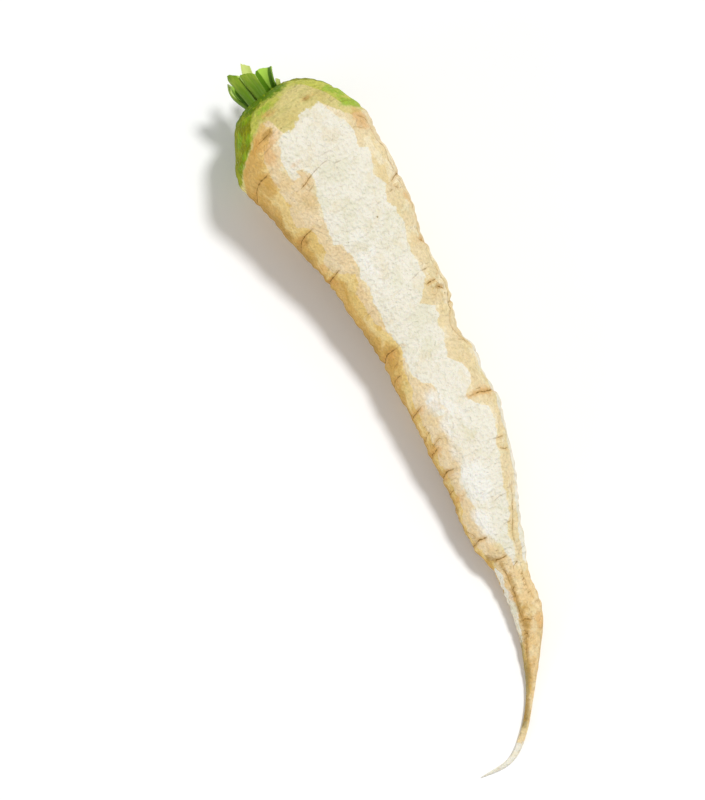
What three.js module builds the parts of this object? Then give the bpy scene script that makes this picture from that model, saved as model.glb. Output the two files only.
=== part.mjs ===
// A white carrot, lying on its side as pulled and trimmed: one long tapering root that ends in a
// thin curled tail, with the cut-back leaf stalks standing in its crown.
//
// Millimetres, +Z up. The root lies along X on the plane z = 0, its crown at the low X end and its
// tail at the high X end. The origin is under the middle of the whole carrot.
import * as THREE from 'three';

const DEGREES = Math.PI / 180;

// ---------------------------------------------------------------- driving dimensions

const SHOULDER_RADIUS = 21.1;   // the root's thickest place, just under the crown
const ROOT_LENGTH = 227;        // along its bent middle line, from the crown to the tip of the tail
const ROOT_RINGS = 86;
const ROOT_SIDES = 36;

// The root's middle line: x and y in plan, and its height over what the carrot lies on.
const MIDDLE_LINE = [
  [1.4, -4.5, 23.1],
  [20.5, 1.1, 20.4],
  [42, 7.4, 17.4],
  [62, 11.4, 14.7],
  [85, 14.2, 12.3],
  [108, 16.9, 12.1],
  [128, 17, 10],
  [143, 15.9, 7.6],
  [158, 16.4, 5],
  [170, 16, 4],
  [181, 12.8, 2.4],
  [190, 9.2, 1.3],
  [200, 3.7, 1],
  [207, -2.9, 0.9],
  [208.9, -13.2, 0.4],
];

// Half the root's thickness, against the distance down the middle line. It starts in the shallow
// dish that the leaf stalks stand in, goes over the collar round it and down the shoulder.
const DISH_DEPTH = 1.2;
const DISH_RISE = 0.2;          // of its floor, from the middle to the edge
const DISH_RADIUS = 7.2;
const OUTLINE = [
  [0, DISH_DEPTH],
  [DISH_RADIUS, DISH_DEPTH - DISH_RISE],
  [8.4, 0],
  [12.3, 2],
  [15.6, 4.8],
  [18.7, 9.4],
  [20.3, 14],
  [SHOULDER_RADIUS, 21],
  [19.8, 30],
  [17.9, 44],
  [15.2, 60],
  [14.2, 73],
  [12.3, 88],
  [12.9, 98],
  [12.5, 111],
  [11.2, 124],
  [9.4, 137],
  [7.5, 148],
  [4.9, 157],
  [4.2, 170],
  [2.8, 181],
  [1.6, 190],
  [1, 197],
  [0.95, 205],
  [0.85, 215],
  [0, ROOT_LENGTH],
];

// Swellings (height over 0) and folds (under 0) of the skin. Each lies at a distance down the root
// and an angle round it: 0 is the +Y flank, 90 the top, 180 the -Y flank and -90 the belly.
const RELIEF = [
  { at: 7, angle: 180, reach: 4.8, spread: 55, height: -2 },
  { at: 12, angle: 0, reach: 3.5, spread: 50, height: -0.6 },
  { at: 18, angle: 180, reach: 3.5, spread: 60, height: 0.3 },
  { at: 21, angle: 0, reach: 5, spread: 45, height: 0.8 },
  { at: 26, angle: 180, reach: 8, spread: 60, height: -1.2 },
  { at: 34, angle: 0, reach: 5, spread: 45, height: 0.8 },
  { at: 46, angle: 0, reach: 5, spread: 60, height: 0.5 },
  { at: 59, angle: -5, reach: 3, spread: 60, height: -0.7 },
  { at: 66, angle: 175, reach: 5, spread: 60, height: 0.4 },
  { at: 74, angle: 0, reach: 6, spread: 70, height: 0.8 },
  { at: 86, angle: 5, reach: 3.5, spread: 70, height: -0.6 },
  { at: 92, angle: 180, reach: 5, spread: 60, height: 0.6 },
  { at: 95, angle: 0, reach: 4, spread: 75, height: 1.2 },
  { at: 102, angle: 0, reach: 3.5, spread: 60, height: -0.6 },
  { at: 110, angle: 0, reach: 3, spread: 60, height: 1.2 },
  { at: 118, angle: 180, reach: 6, spread: 60, height: 0.4 },
  { at: 141, angle: 0, reach: 7, spread: 60, height: -0.6 },
  { at: 141, angle: 180, reach: 8, spread: 60, height: 0.5 },
  { at: 151, angle: 90, reach: 3, spread: 80, height: 0.5 },
  { at: 163, angle: 0, reach: 2.5, spread: 60, height: -0.6 },
  { at: 170, angle: 0, reach: 5, spread: 70, height: 0.4 },
];
const OUT_OF_ROUND = 0.018;     // share of the radius, as a slow twist down the root

// The leaf stalks, each cut off short. A stalk is half a moon across: round behind, and hollow
// towards the heart of the crown. It stands `ring` from the crown's axis, turned round it as the
// skin's folds are. Its length is along its own bend, on its longer side: it leans outwards, bows
// outwards halfway, is twisted round itself, and flares by a share of its width from foot to tip.
const STALKS = [
  { turn: 101, ring: 4.3, width: 3.9, length: 9.9, lean: 3, bow: 0.6, twist: 0, flare: 0.2 },
  { turn: 150, ring: 4.3, width: 3.7, length: 11.9, lean: 1, bow: 0.4, twist: -12, flare: 0.2 },
  { turn: 198, ring: 4.6, width: 4, length: 9.4, lean: 1, bow: 3, twist: 8, flare: 0.1 },
  { turn: 250, ring: 4.2, width: 3.8, length: 9, lean: 12, bow: 0, twist: 0, flare: 0.2 },
  { turn: 326, ring: 3.8, width: 5.3, length: 11, lean: 19, bow: 0, twist: -18, flare: 0.05 },
  { turn: 16, ring: 5.2, width: 2.8, length: 4.2, lean: 22, bow: 0, twist: 0, flare: 0.1 },
  { turn: 0, ring: -1.1, width: 3.7, length: 13.3, lean: 12, bow: 0, twist: -90, flare: -0.75 },
  { turn: 120, ring: 1.2, width: 3, length: 8.6, lean: 2, bow: 0, twist: 0, flare: 0 },
];
const STALK_BACK = 0.42;        // depth of the round back, as a share of the width
const STALK_HOLLOW = 0.17;      // depth of the hollow, as a share of the width
const STALK_LIP = 0.5;          // the flat edge on each side of the hollow
const STALK_CUT = 0.55;         // slant of the cut: how far it falls for each mm towards the +Y flank
const STALK_STEPS = 6;
const STALK_GAP = 0.45;         // between a stalk's foot and the dish that it stands in

// ---------------------------------------------------------------- shaping

// Lays a geometry that was made along Z on a curve: its z becomes the distance along the curve, its
// y the offset towards the side that `up` points to, and its x the offset across.
function layAlong(geometry, curve, up) {
  const length = curve.getLength();
  const position = geometry.getAttribute('position');
  for (let i = 0; i < position.count; i++) {
    const share = THREE.MathUtils.clamp(position.getZ(i) / length, 0, 1);
    const tangent = curve.getTangentAt(share);
    const across = new THREE.Vector3().crossVectors(up, tangent).normalize();
    const lift = new THREE.Vector3().crossVectors(tangent, across);
    const place = curve.getPointAt(share)
      .addScaledVector(across, position.getX(i))
      .addScaledVector(lift, position.getY(i));
    position.setXYZ(i, place.x, place.y, place.z);
  }
  return geometry;
}

// How far the skin stands out from the round root, at a distance down it and an angle round it.
function reliefAt(distance, angle, radius) {
  let height = radius * OUT_OF_ROUND * Math.sin(2 * angle + distance / 23);
  for (const fold of RELIEF) {
    const turn = Math.abs(angle - fold.angle * DEGREES) % (2 * Math.PI);
    const away = Math.min(turn, 2 * Math.PI - turn) / (fold.spread * DEGREES);
    const along = (distance - fold.at) / fold.reach;
    height += fold.height * Math.exp(-along * along - away * away);
  }
  return height;
}

// ---------------------------------------------------------------- the root

function makeRoot(middleLine) {
  const outline = new THREE.SplineCurve(OUTLINE.map(([r, z]) => new THREE.Vector2(r, z)));
  const profile = outline.getSpacedPoints(ROOT_RINGS).map((p) => new THREE.Vector2(Math.max(p.x, 0), p.y));
  const geometry = new THREE.LatheGeometry(profile, ROOT_SIDES);
  geometry.rotateX(Math.PI / 2);
  const position = geometry.getAttribute('position');
  for (let i = 0; i < position.count; i++) {
    const [x, y, distance] = [position.getX(i), position.getY(i), position.getZ(i)];
    const radius = Math.hypot(x, y);
    const grown = radius < 1e-6 ? 1 : 1 + reliefAt(distance, Math.atan2(y, x), radius) / radius;
    position.setXYZ(i, x * grown, y * grown, distance);
  }
  layAlong(geometry, middleLine, new THREE.Vector3(0, 0, 1));
  for (let i = 0; i < position.count; i++) {
    position.setZ(i, Math.max(position.getZ(i), 0));
  }
  return geometry;
}

// ---------------------------------------------------------------- the leaf stalks

// The section of a stalk, with its back towards +Y and its hollow towards -Y.
function stalkSection(width) {
  const half = width / 2;
  const section = new THREE.Shape();
  section.moveTo(half, 0);
  section.absellipse(0, 0, half, width * STALK_BACK, 0, Math.PI, false);
  section.lineTo(-half + STALK_LIP, 0);
  section.absellipse(0, 0, half - STALK_LIP, width * STALK_HOLLOW, Math.PI, 0, true);
  return section;
}

// A stalk on the crown: `foot` is the middle of the dish, `out` the way out of the root, and `side`
// the way to its +Y flank.
function makeStalk({ foot, out, side }, { turn, ring, width, length, lean, bow, twist, flare }) {
  const towards = side.clone().applyAxisAngle(out, -turn * DEGREES);
  const rise = length * Math.cos(lean * DEGREES);
  const spread = length * Math.sin(lean * DEGREES);
  const overFoot = (up, away) => foot.clone().addScaledVector(out, up).addScaledVector(towards, away);
  const bend = new THREE.CubicBezierCurve3(
    overFoot(0, ring),
    overFoot(rise / 3, ring),
    overFoot(rise * 2 / 3, ring + spread / 3 + bow),
    overFoot(rise, ring + spread),
  );
  const geometry = new THREE.ExtrudeGeometry(stalkSection(width), {
    depth: bend.getLength(),
    steps: STALK_STEPS,
    bevelEnabled: false,
    curveSegments: 6,
  });
  const behind = towards.clone().applyAxisAngle(out, -twist * DEGREES);
  const across = behind.clone().cross(out);
  const position = geometry.getAttribute('position');
  for (let i = 0; i < position.count; i++) {
    const share = position.getZ(i) / bend.getLength();
    const widening = 1 + flare * (share - 0.5);
    const x = position.getX(i) * widening;
    const y = position.getY(i) * widening;
    const flankwards = x * across.dot(side) + y * behind.dot(side) + width / 2;
    position.setXYZ(i, x, y, share * (bend.getLength() - STALK_CUT * flankwards));
  }
  return layAlong(geometry, bend, behind);
}

// ---------------------------------------------------------------- the carrot

const middleLine = new THREE.CatmullRomCurve3(MIDDLE_LINE.map((p) => new THREE.Vector3(...p)));
const down = middleLine.getTangentAt(0);
const crown = {
  foot: middleLine.getPointAt(0).addScaledVector(down, DISH_DEPTH - DISH_RISE - STALK_GAP),
  out: down.clone().negate(),
  side: new THREE.Vector3(0, 0, 1).cross(down).normalize(),
};

const skin = new THREE.MeshStandardMaterial({ color: 0xeee3c4, roughness: 0.6, metalness: 0 });
const stalkGreen = new THREE.MeshStandardMaterial({ color: 0x7fb02e, roughness: 0.5, metalness: 0 });

const carrot = new THREE.Group();

function add(name, geometry, material) {
  const mesh = new THREE.Mesh(geometry, material);
  mesh.name = name;
  carrot.add(mesh);
}

add('taproot', makeRoot(middleLine), skin);
STALKS.forEach((stalk, i) => add(`leaf_stalk_${i + 1}`, makeStalk(crown, stalk), stalkGreen));

const box = new THREE.Box3().setFromObject(carrot);
const middle = box.getCenter(new THREE.Vector3());
carrot.position.set(-middle.x, -middle.y, -box.min.z);

export default carrot;
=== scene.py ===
"""A white carrot on its side on white paper: its skin and its leaf stalks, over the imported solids."""
import math

import bpy
import numpy as np
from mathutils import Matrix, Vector


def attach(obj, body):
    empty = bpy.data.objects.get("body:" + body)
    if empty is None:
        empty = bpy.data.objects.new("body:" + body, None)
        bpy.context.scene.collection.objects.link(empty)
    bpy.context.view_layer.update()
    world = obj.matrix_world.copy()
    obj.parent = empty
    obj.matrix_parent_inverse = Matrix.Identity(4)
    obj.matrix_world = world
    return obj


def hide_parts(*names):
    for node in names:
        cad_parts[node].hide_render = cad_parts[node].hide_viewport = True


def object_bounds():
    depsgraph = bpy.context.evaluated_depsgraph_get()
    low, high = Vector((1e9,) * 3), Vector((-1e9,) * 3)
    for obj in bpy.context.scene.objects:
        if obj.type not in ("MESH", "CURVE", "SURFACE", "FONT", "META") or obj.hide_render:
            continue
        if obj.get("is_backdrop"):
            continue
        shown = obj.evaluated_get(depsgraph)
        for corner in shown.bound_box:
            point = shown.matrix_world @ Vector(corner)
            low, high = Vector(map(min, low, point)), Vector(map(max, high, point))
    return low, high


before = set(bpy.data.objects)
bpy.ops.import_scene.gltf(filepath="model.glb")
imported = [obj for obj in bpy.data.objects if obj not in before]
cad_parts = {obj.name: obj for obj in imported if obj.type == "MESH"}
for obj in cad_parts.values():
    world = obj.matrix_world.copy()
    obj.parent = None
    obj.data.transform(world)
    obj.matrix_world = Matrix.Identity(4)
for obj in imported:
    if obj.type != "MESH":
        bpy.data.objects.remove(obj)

cad_low, cad_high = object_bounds()

# ---- The root
# One long taproot: pale, juicy flesh under a skin as thin as paper. It grew in one piece, from the
# shallow dish that carries the leaves, over the green shoulder that stood out of the soil, down to
# the bent thread of its tail. Here it lies on its side, with its crown at the low X end.

MM = 0.001

# Its middle line, in plan and in height, as the solid has it, counted from MIDDLE_LINE_AT.
MIDDLE_LINE_AT = Vector((-99.131, -5.177, 0)) * MM
MIDDLE_LINE = [
    (1.4, -4.5, 23.1), (20.5, 1.1, 20.4), (42, 7.4, 17.4), (62, 11.4, 14.7), (85, 14.2, 12.3),
    (108, 16.9, 12.1), (128, 17, 10), (143, 15.9, 7.6), (158, 16.4, 5), (170, 16, 4), (181, 12.8, 2.4),
    (190, 9.2, 1.3), (200, 3.7, 1), (207, -2.9, 0.9), (208.9, -13.2, 0.4),
]

# Its outline while still straight: the distance down the middle line, and the radius there. It runs
# from the middle of the dish over the collar and the shoulder to the tip of the tail.
OUTLINE = [
    (1.2, 2), (1.1, 4.7), (0.9, 7.1), (0.3, 7.8), (0, 8.6), (0.5, 10.2), (2, 12.3), (4.8, 15.6),
    (9.4, 18.7), (14, 20.3), (21, 21.1), (30, 19.8), (44, 17.9), (60, 15.2), (73, 14.2), (88, 12.3),
    (98, 12.9), (111, 12.5), (124, 11.2), (137, 9.4), (148, 7.5), (157, 4.9), (170, 4.2), (181, 2.8),
    (190, 1.6), (197, 1), (205, 0.95), (215, 0.85), (226.6, 0.3),
]
ROOT_SIDES = 14
ROOT_RING_STEP = 2.4        # millimetres of outline from one ring to the next
ROOT_SMOOTHING = 3
ROOT_FULLNESS = 1.034       # makes up for what smoothing takes off a ring of 14 sides
WELD = 0.002 * MM           # how near to each other a solid's loose corners are one


def select_only(piece):
    """Selects one piece, and makes it the active one."""
    bpy.ops.object.select_all(action="DESELECT")
    piece.select_set(True)
    bpy.context.view_layer.objects.active = piece


def finish_with(piece, kind, **settings):
    """Adds a modifier to the piece and applies it."""
    select_only(piece)
    modifier = piece.modifiers.new(kind.lower(), kind)
    for name, value in settings.items():
        setattr(modifier, name, value)
    bpy.ops.object.modifier_apply(modifier=modifier.name)


def welded_copy(node, name):
    """A copy of a CAD node as one welded mesh of quads, in a new object."""
    piece = bpy.data.objects.new(name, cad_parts[node].data.copy())
    bpy.context.scene.collection.objects.link(piece)
    piece.data.name = name
    piece.data.materials.clear()
    select_only(piece)
    bpy.ops.object.mode_set(mode="EDIT")
    bpy.ops.mesh.select_all(action="SELECT")
    bpy.ops.mesh.remove_doubles(threshold=WELD)
    bpy.ops.mesh.tris_convert_to_quads()
    bpy.ops.object.mode_set(mode="OBJECT")
    return piece


def read_points(piece, what="co"):
    """The places (or the normals) of a mesh's points, as rows of three."""
    rows = np.empty(len(piece.data.vertices) * 3, dtype=np.float32)
    piece.data.vertices.foreach_get(what, rows)
    return rows.reshape(-1, 3).astype(float)


def write_points(piece, places):
    """Moves a mesh's points to new places, given as rows of three."""
    piece.data.vertices.foreach_set("co", places.astype(np.float32).ravel())
    piece.data.update()


def keep_field(piece, name, values):
    """Keeps one number, or one vector, for each point of the mesh, for its material to read."""
    kind, part = ("FLOAT_VECTOR", "vector") if values.ndim == 2 else ("FLOAT", "value")
    field = piece.data.attributes.new(name, kind, "POINT")
    field.data.foreach_set(part, values.astype(np.float32).ravel())


# The root is made straight first, ring after ring, and closed at the tip of the tail.
outline = np.array(OUTLINE) * MM
outline[:, 1] *= ROOT_FULLNESS
reach = np.concatenate([[0], np.cumsum(np.hypot(*np.diff(outline, axis=0).T))])
bpy.ops.object.select_all(action="DESELECT")
bpy.ops.mesh.primitive_circle_add(
    vertices=ROOT_SIDES, radius=outline[0, 1], fill_type="NGON",
    location=(outline[0, 0], 0, 0), rotation=(0, math.pi / 2, 0))
root = bpy.context.object
root.name = root.data.name = "root_skin"
bpy.ops.object.transform_apply()
bpy.ops.object.mode_set(mode="EDIT")
bpy.ops.mesh.select_all(action="SELECT")
last_place, last_radius = outline[0]
for along in np.linspace(0, reach[-1], round(reach[-1] / (ROOT_RING_STEP * MM)))[1:]:
    place, radius = (float(np.interp(along, reach, column)) for column in outline.T)
    bpy.ops.mesh.extrude_edges_move(TRANSFORM_OT_translate={"value": (place - last_place, 0, 0)})
    growth = radius / last_radius
    bpy.ops.transform.resize(value=(1, growth, growth), center_override=(place, 0, 0))
    last_place, last_radius = place, radius
bpy.ops.mesh.edge_face_add()
bpy.ops.mesh.select_all(action="SELECT")
bpy.ops.mesh.normals_make_consistent(inside=False)
bpy.ops.object.mode_set(mode="OBJECT")
finish_with(root, "SUBSURF", levels=ROOT_SMOOTHING, render_levels=ROOT_SMOOTHING)

# Each point's place on the straight root stays with the skin, for all that follows its growth.
straight = read_points(root)
keep_field(root, "straight", straight)

# Then it is bent along its middle line and drawn tight on the solid, whose facets are rounded off.
path = bpy.data.curves.new("middle_line", "CURVE")
path.dimensions = "3D"
path.twist_mode = "Z_UP"
path.resolution_u = 32
spline = path.splines.new("BEZIER")
spline.bezier_points.add(len(MIDDLE_LINE) - 1)
for point, place in zip(spline.bezier_points, MIDDLE_LINE):
    point.co = MIDDLE_LINE_AT + Vector(place) * MM
    point.handle_left_type = point.handle_right_type = "AUTO"
middle_line = bpy.data.objects.new("middle_line", path)
bpy.context.scene.collection.objects.link(middle_line)
finish_with(root, "CURVE", object=middle_line, deform_axis="POS_X")
form = welded_copy("taproot", "root_form")
finish_with(form, "SUBSURF", levels=2, render_levels=2)
finish_with(root, "SHRINKWRAP", target=form, wrap_method="NEAREST_SURFACEPOINT")
bpy.data.objects.remove(middle_line)
bpy.data.objects.remove(form)

# Where a point is: millimetres down the root, and degrees round it, from the belly (-90) over the
# +Y flank (0), the top (90) and the -Y flank (180) back to the belly (270).
down = straight[:, 0] / MM
turn = (np.degrees(np.arctan2(straight[:, 2], straight[:, 1])) + 90) % 360 - 90
thickness = np.hypot(straight[:, 1], straight[:, 2]) / MM
DISH_DEPTH, DISH_RADIUS = 1.4, 8
in_dish = (down < DISH_DEPTH) & (thickness < DISH_RADIUS)

# Creases across the root, where its skin folded as it swelled between them. Each runs from one
# (down, turn) to another, bows towards the tail by so many millimetres, and has a depth.
CREASES = [
    (8.6, 40, 9.6, 63, 0.2, 0.12), (10.4, 110, 11.2, 132, 0.3, 0.3), (14.3, 116, 15.2, 134, 0, 0.14),
    (5.2, -10, 5.4, 34, 0, 0.2), (9.6, -12, 9.8, 40, 0, 0.22), (16.4, 20, 15, 46, 0.3, 0.15),
    (20.1, 127, 25.8, 192, -1.2, 0.36), (23.8, 26, 21, 39, -0.2, 0.22), (26, 34, 23.2, 53, 0.2, 0.14),
    (25.7, 78, 25.5, 93, 0.15, 0.14), (27.4, 83, 29.9, 125, -0.3, 0.34),
    (30.5, 74, 29.6, 87, -0.1, 0.22), (31, 108, 32, 119, 0, 0.16), (40.2, -18, 42.4, 49, -0.6, 0.34),
    (44.9, 26, 43.4, 41, 0, 0.2), (40.9, 131, 44.6, 190, -0.5, 0.42),
    (56.4, 136, 58.2, 198, -0.3, 0.44), (61.5, -20, 59.1, 35, 0.3, 0.34),
    (67.4, 35, 69.6, 81, -0.2, 0.24), (71.4, 37, 72.6, 61, -0.2, 0.4), (75, 26, 73.4, 44, 0.1, 0.42),
    (77.2, -30, 79.6, 32, -0.6, 0.36), (72, 128, 72.3, 150, 0, 0.14), (85.2, 122, 87, 204, -0.2, 0.46),
    (89.3, 138, 90, 153, 0.2, 0.2), (93.1, 138, 93.6, 196, -0.2, 0.28), (95, -30, 96, 24, 0, 0.26),
    (104.8, 134, 105.8, 192, -0.1, 0.4), (107.1, -34, 108.2, 79, 0.2, 0.44),
    (106.5, 48, 107.1, 62, 0, 0.2), (110.1, 147, 110.7, 160, 0, 0.24),
    (112.1, 141, 113.6, 186, 0.2, 0.26), (115.1, 131, 116.6, 158, 0.1, 0.28),
    (117.4, 138, 119, 196, 0.3, 0.4), (120.8, 34, 120.4, 69, 0.1, 0.28),
    (124, 30, 123.7, 54, -0.1, 0.3), (123.6, 58, 124.1, 68, 0, 0.18),
    (124.9, 128, 126.6, 204, -0.2, 0.42), (131, 150, 131.5, 200, 0, 0.26),
    (136.1, 56, 137.3, 86, -0.3, 0.26), (141, 52, 141.4, 70, 0.1, 0.22),
    (144.3, 58, 144.7, 79, -0.1, 0.26), (146.2, 112, 147.9, 196, -0.2, 0.46),
    (145.4, 143, 143.2, 170, 0, 0.26), (153.4, 90, 153.8, 140, -0.3, 0.44),
    (152.2, 10, 153.2, 62, 0, 0.22), (155.9, 64, 158.2, 93, -0.5, 0.38),
    (159.7, 60, 159.9, 74, 0, 0.24), (161.5, 58, 161.7, 76, 0, 0.26), (163.4, 64, 163.8, 76, 0, 0.24),
    (165.3, 48, 166.4, 74, 0, 0.26), (162.6, 106, 164.2, 130, 0, 0.3), (165.4, 116, 165.8, 150, 0, 0.3),
    (168.5, 20, 169, 56, 0, 0.22), (173.5, 72, 173.2, 128, -0.3, 0.4), (177, 100, 177.4, 130, 0, 0.3),
    (181.3, 104, 181.8, 140, 0, 0.26), (186, 50, 186.4, 120, 0, 0.16),
]
# Furrows along the root, as (down, turn) from end to end, with a bow in degrees and a depth. The
# deepest runs down the pinched part above the tail.
FURROWS = [
    (77, 24, 96, 33, 4, 0.24), (131, 30, 153, 62, 6, 0.3), (151, 122, 190, 116, 3, 0.3),
    (156, 62, 169, 52, 4, 0.16), (158, 10, 190, 16, 4, 0.24), (160, 176, 190, 170, -4, 0.3),
    (150, 210, 188, 225, 5, 0.26), (148, -40, 186, -30, 6, 0.26), (20, 23, 46, 21, 3, 0.3),
    (44, 22, 64, 20, -2, 0.26), (62, 19, 84, 22, 3, 0.3), (84, 21, 106, 18, -3, 0.28),
    (108, 19, 136, 21, 3, 0.3),
]
CREASE_WIDTH = 0.3, 0.6     # along the top, and on the flanks
CREASE_PRESS = 0.5, 1.1     # the share of its depth that it is pressed in, in the same two places
CREASE_FADE, FURROW_FADE = 0.22, 0.2        # the share of its run over which each end fades out
LIP_PLACE, LIP_WIDTH, LIP_SHARE = 1.3, 0.8, 0.4     # the swollen lips on both sides of a crease
STAIN_REACH = 1.1           # how far to its sides a crease is the one that stains the skin
FULL_STAIN = 0.4            # the depth from which a crease is stained in full
SMALL_CREASES = 190         # short wrinkles all over, shallower along the top

rng = np.random.default_rng(11)
small_at = rng.uniform(9, 188, SMALL_CREASES)
small_turn = rng.uniform(-90, 270, SMALL_CREASES)
small_spread = rng.uniform(6, 24, SMALL_CREASES)
on_top = np.exp(-((small_turn - 90) / 38) ** 2)
small_depth = rng.uniform(0.04, 0.18, SMALL_CREASES) * (1 - 0.8 * on_top)
small_slant = rng.normal(0, 0.7, SMALL_CREASES)
small = zip(small_at, small_turn, small_at + small_slant, small_turn + small_spread,
            rng.normal(0, 0.2, SMALL_CREASES), small_depth)

# 0 along the top, within 35 degrees of it, to 1 on the flanks, from 75 degrees.
flank = np.clip((np.abs(turn - 90) - 35) / 40, 0, 1)
height = np.zeros(len(down))            # how far the skin stands out from the solid, in millimetres
crease = np.full(len(down), 9.0)        # signed distance from the nearest crease, across it
crease_share = np.zeros(len(down))      # how strong that crease is here
best = np.zeros(len(down))              # the weight of the crease that was taken as the nearest


def press_crease(across, share, depth):
    """Presses one crease into the skin: a sharp groove between two swollen lips."""
    groove = np.exp(-(across / np.interp(flank, [0, 1], CREASE_WIDTH)) ** 2)
    lips = np.exp(-((np.abs(across) - LIP_PLACE) / LIP_WIDTH) ** 2)
    height[:] += np.interp(flank, [0, 1], CREASE_PRESS) * depth * share * (LIP_SHARE * lips - groove)
    weight = depth * share * np.exp(-(across / STAIN_REACH) ** 2)
    nearer = weight > best
    best[nearer] = weight[nearer]
    crease[nearer] = across[nearer]
    crease_share[nearer] = (share * min(depth / FULL_STAIN, 1))[nearer]


def fade_ends(t, soft):
    """1 along the middle of a crease's run (t from 0 to 1), fading to 0 at both ends."""
    ends = np.clip(np.minimum(t, 1 - t) / soft, 0, 1)
    return ends * ends * (3 - 2 * ends)


# Neither creases nor furrows run true: each wanders a little by two sine waves of its own.
for down_a, turn_a, down_b, turn_b, bow, depth in [*CREASES, *small]:
    t = (turn - turn_a) / (turn_b - turn_a)
    wander = 0.16 * np.sin(turn * 0.17 + down_a * 3) + 0.06 * np.sin(turn * 0.41 + down_b)
    middle = down_a + (down_b - down_a) * t + bow * 4 * t * (1 - t) + wander
    press_crease(down - middle, fade_ends(t, CREASE_FADE), depth)
for down_a, turn_a, down_b, turn_b, bow, depth in FURROWS:
    t = (down - down_a) / (down_b - down_a)
    wander = 3 * np.sin(down * 0.4 + turn_a) + 1.2 * np.sin(down * 0.9)
    middle = turn_a + (turn_b - turn_a) * t + bow * 4 * t * (1 - t) + wander
    uneven = 0.75 + 0.25 * np.sin(down * 1.1 + turn_a)
    press_crease(np.radians(turn - middle) * thickness, fade_ends(t, FURROW_FADE) * uneven, depth)
crease_share[in_dish] = 0
height[in_dish] = 0

# Round the crown the skin is ringed by the scars of shed leaves, and puckered where it dips into
# the dish. The floor of the dish rises to the stalks' feet, and most of all in its middle.
SCAR_HEIGHT, PUCKER_HEIGHT = 0.1, 0.05
FLOOR_RISE, MIDDLE_RISE = 0.45, 0.4
ring_walk = np.interp(thickness, [6, 8.4, 20], [-1.5, 0, 14])
near_crown = np.exp(-(down / 5) ** 2)
height += SCAR_HEIGHT * near_crown * np.sin(ring_walk * 2.3 + 0.8 * np.sin(np.radians(turn) * 3))
puckers = np.sin(np.radians(turn) * 23 + 2 * np.sin(np.radians(turn) * 4))
height += PUCKER_HEIGHT * near_crown * puckers
floor_rise = np.where(in_dish, FLOOR_RISE + MIDDLE_RISE * np.clip(1 - thickness / 6, 0, 1), 0)
# The root swells a little unevenly, ring by ring, below its shoulder most of all on its flanks. The
# thinner it is, the less it swells.
SHOULDER_END = 18
height += 0.1 * np.sin(down * 0.55 + 1.2 * np.sin(np.radians(turn) + down * 0.07))
height += 0.07 * np.sin(down * 1.15 + 2 * np.sin(np.radians(turn) * 2))
on_flank = 0.12 * flank * np.sin(down * 1.7 + 3 * np.sin(down * 0.23 + np.radians(turn) * 2))
height += on_flank * (down > SHOULDER_END)
calm_tail = np.clip((thickness - 0.6) / 4, 0.06, 1)
moves = (height * calm_tail + floor_rise) * MM
places = read_points(root) + read_points(root, "normal") * moves[:, None]
write_points(root, np.clip(places, cad_low, cad_high))

# Where the colours lie. The bare cream along the top, kept lightest there partly as painted light on
# the top: its two edges at each distance down the root, in degrees, towards the +Y flank and towards
# the -Y flank.
CREAM_BAND = [
    (8.6, 65, 62), (9.6, 61, 67), (10.6, 57, 76), (12, 60, 87), (13.4, 60, 101), (14.6, 60, 112),
    (18, 58, 115), (20, 55, 118), (24, 52, 121), (25.5, 52, 108), (29.8, 55, 106), (31, 45, 108),
    (35, 51, 114), (38, 57, 117), (42, 49, 119), (45, 55, 125), (46.5, 59, 125), (49, 50, 128),
    (50.2, 51, 121), (54, 47, 120), (59, 54, 118), (62, 55, 124), (66, 53, 120), (70, 53, 125),
    (74, 66, 126), (76.6, 76, 127), (78.8, 56, 127), (82, 57, 128), (84.6, 62, 124), (88, 59, 125),
    (92, 68, 127), (96, 77, 127), (99, 60, 121), (101, 55, 109), (104.5, 61, 108), (107.6, 78, 110),
    (110, 70, 102), (112, 52, 113), (116, 46, 117), (121, 54, 109), (125, 55, 118), (130, 61, 128),
    (134, 59, 127), (138, 56, 122), (142, 57, 129), (145, 68, 118), (147.5, 75, 110), (150, 66, 93),
    (154, 70, 89), (156.5, 80, 88), (158.5, 88, 82),
]
# The turn past which the -Y flank is ochre, at each distance down the root: partly a stain, and partly
# painted shade on the flank turned from the key lamp.
OCHRE_EDGE = [
    (0, 175), (5, 132), (7, 110), (11, 110), (13, 120), (15, 128), (17, 133), (20, 134), (22, 137),
    (28, 139), (31, 141), (33, 147), (38, 149), (40.5, 140), (43, 136), (46, 142), (48, 138),
    (49.5, 142), (51, 152), (55.5, 155), (57.5, 141), (60, 128), (63, 134), (65, 140), (70, 139),
    (76, 138), (78, 131), (82, 128), (86, 124), (90, 130), (94, 137), (98, 140), (102, 149), (106, 150),
    (110, 153), (114, 146), (118, 144), (122, 155), (126, 151), (130, 153), (133, 150), (137, 150),
    (140, 156), (144, 162), (147, 162), (150, 150), (153, 138), (156, 146), (159, 170), (166, 190),
    (176, 190), (181, 146), (186, 112), (200, 106), (206, 150), (210, 240),
]
# How far the olive, the khaki and the lime of the shoulder reach down the root, at each turn round it.
GREENING = [
    (-90, 11, 15, 13), (-40, 13, 17, 15), (0, 14, 18.5, 17), (14, 10, 21, 19), (30, 5, 21, 18.4),
    (42, 1.5, 20.4, 17), (47, 0.5, 19, 9), (53, 0.3, 16.4, 3.4), (62, 0.3, 11.6, 2.8),
    (80, 0.5, 11.6, 3.2), (92, 1, 13.4, 4.4), (102, 2.4, 14, 5.4), (108, 2.6, 8, 5.6),
    (118, 2.8, 6.6, 6), (128, 4.2, 8.6, 8), (138, 9.8, 11, 10), (148, 12.6, 13, 12), (158, 14, 15, 14),
    (170, 17, 18.6, 17), (190, 17.5, 20, 18), (230, 14, 18, 16), (270, 11, 15, 13),
]
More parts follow.
